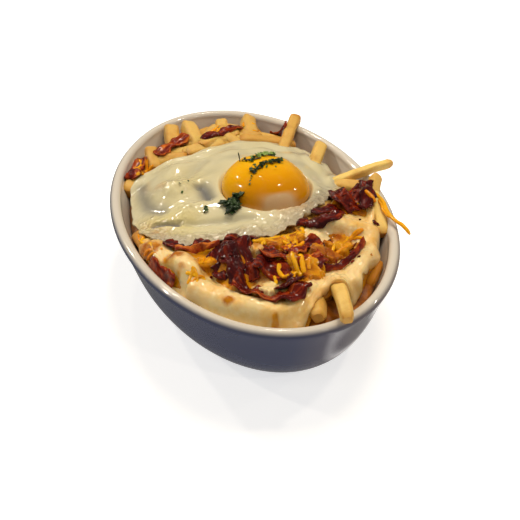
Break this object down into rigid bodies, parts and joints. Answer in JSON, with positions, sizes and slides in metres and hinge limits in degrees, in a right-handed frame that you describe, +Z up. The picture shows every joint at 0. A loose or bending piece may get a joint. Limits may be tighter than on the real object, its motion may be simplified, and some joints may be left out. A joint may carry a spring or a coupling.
{
  "type": "cheese fries in an oval baking dish",
  "caption": "Heap of fries with cheese sauce, shredded cheese, crisp bacon, a fried egg and parsley, served in an oval glazed baking dish.",
  "frame": {"origin": "centre of the dish's flat underside", "axes": "+Y along the dish's long axis, away from the end where a fry lies over the rim; +Z up; +X towards the side where a thin fry sticks out"},
  "size_m": [0.1474, 0.2025, 0.0678],
  "materials": {
    "glaze": "glossy glaze, off-white lip and inside, slate grey outside",
    "fries": "fried potato, golden, lightly oily",
    "sauce": "melted cheese sauce, pale cream yellow, soft gloss",
    "egg_white": "set egg white, wet gloss, slightly see-through",
    "egg_yolk": "soft yolk, wet gloss",
    "bacon": "crisp fried bacon, dark red with amber fat, greasy gloss",
    "parsley": "chopped leaf"
  },
  "bodies": {
    "root": {"dish": "glaze", "fries": "fries", "cheese_sauce": "sauce", "egg_white": "egg_white", "egg_yolk": "egg_yolk", "bacon_01": "bacon", "bacon_02": "bacon", "bacon_03": "bacon", "bacon_04": "bacon", "bacon_05": "bacon", "bacon_06": "bacon", "bacon_07": "bacon", "bacon_08": "bacon", "bacon_09": "bacon", "bacon_10": "bacon", "bacon_11": "bacon", "bacon_12": "bacon", "bacon_13": "bacon", "bacon_14": "bacon", "bacon_15": "bacon", "bacon_16": "bacon", "bacon_17": "bacon", "bacon_18": "bacon", "bacon_19": "bacon", "bacon_20": "bacon", "bacon_21": "bacon", "bacon_22": "bacon", "parsley_leaf": "parsley", "parsley_sprig": "parsley", "parsley_tuft": "parsley", "parsley_flake": "parsley"}
  },
  "joints": []
}
